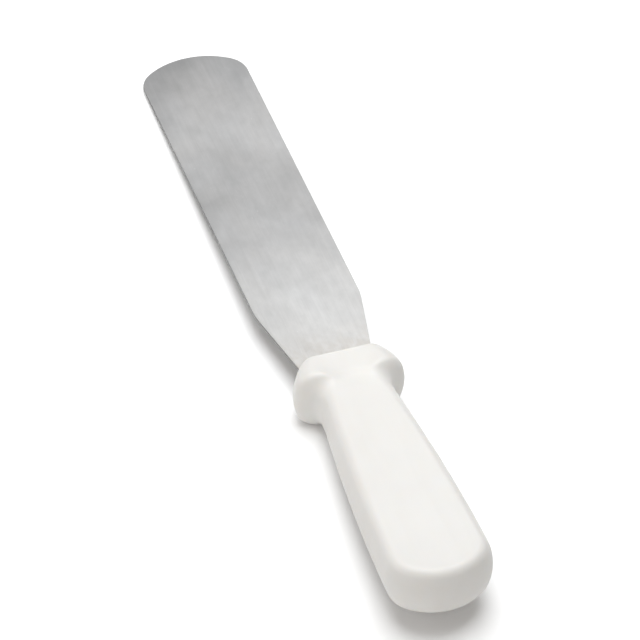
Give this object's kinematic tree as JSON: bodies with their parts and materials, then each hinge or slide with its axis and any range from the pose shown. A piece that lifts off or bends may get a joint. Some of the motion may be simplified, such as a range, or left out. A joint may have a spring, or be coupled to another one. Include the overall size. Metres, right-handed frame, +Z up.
{
  "type": "baker's spatula",
  "caption": "Straight baker's spatula: flexible round-tipped steel blade, tapered at the root, in a white moulded plastic handle with a finger guard.",
  "frame": {"origin": "middle of the footprint, on the surface the tool rests on", "axes": "+Y along the tool from the butt of the handle towards the blade tip, +X across the blade, +Z up; the blade plane is tilted 3.48 degrees tip-down, as the tool rests on its blade tip and finger guard"},
  "size_m": [0.0394, 0.2886, 0.0272],
  "materials": {
    "blade_steel": "fine lengthwise satin grind",
    "handle_plastic": "smooth, slightly satin, warm white"
  },
  "bodies": {
    "root": {"blade": "blade_steel", "handle": "handle_plastic"}
  },
  "joints": []
}
